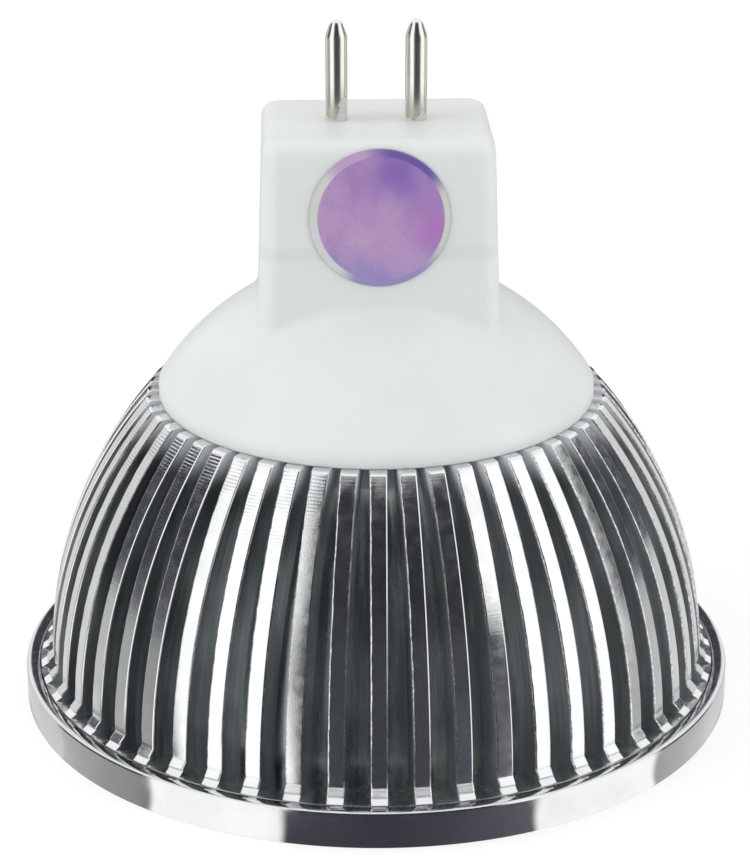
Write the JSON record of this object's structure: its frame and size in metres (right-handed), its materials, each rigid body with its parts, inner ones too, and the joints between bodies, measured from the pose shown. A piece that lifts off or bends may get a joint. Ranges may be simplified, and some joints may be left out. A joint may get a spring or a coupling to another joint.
{
  "type": "led spotlight bulb",
  "caption": "LED spotlight bulb: a white domed base with a block cap and contact pins, on a polished finned aluminium heat sink with a plain front ring and a clear lens.",
  "frame": {"origin": "on the lamp's axis at the front plane, the face of the ring that the lamp stands on", "axes": "+Z along the lamp's axis from the front ring to the pins, +X across the two pins, -Y towards the cap block's face with the sticker"},
  "size_m": [0.05, 0.05, 0.0484],
  "materials": {
    "polished_aluminium": "polished, with fine turning marks",
    "turned_aluminium": "fine turned",
    "white_housing": "translucent satin",
    "plated_pin": "nickel plated",
    "clear_lens": "clear, polished",
    "white_board": "white solder mask on an aluminium core",
    "green_board": "green solder mask",
    "emitter": "white ceramic with a yellow phosphor",
    "grey_pad": "soft matte",
    "steel_screw": "zinc plated",
    "black_package": "moulded, matte",
    "ferrite": "pressed, matte",
    "chip_ceramic": "fired, with tinned ends",
    "chip_resistor": "glazed, with tinned ends",
    "capacitor_can": "shrink sleeve on an aluminium can",
    "red_insulation": "extruded, satin",
    "black_insulation": "extruded, satin",
    "violet_foil": "iridescent foil"
  },
  "bodies": {
    "root": {"bezel_ring": "turned_aluminium", "heat_sink": "polished_aluminium", "lens_array": "clear_lens", "led_board": "white_board", "led_emitter_1": "emitter", "led_emitter_2": "emitter", "led_emitter_3": "emitter", "thermal_pad": "grey_pad", "board_screws": "steel_screw", "base_screws": "steel_screw", "base_housing": "white_housing", "contact_pin_left": "plated_pin", "contact_pin_right": "plated_pin", "driver_board": "green_board", "driver_ic": "black_package", "bridge_rectifier": "black_package", "freewheel_diode": "black_package", "sense_resistors": "chip_resistor", "output_capacitor": "chip_ceramic", "inductor": "ferrite", "input_capacitor": "capacitor_can", "led_wire_red": "red_insulation", "led_wire_black": "black_insulation", "inspection_sticker": "violet_foil"}
  },
  "joints": []
}
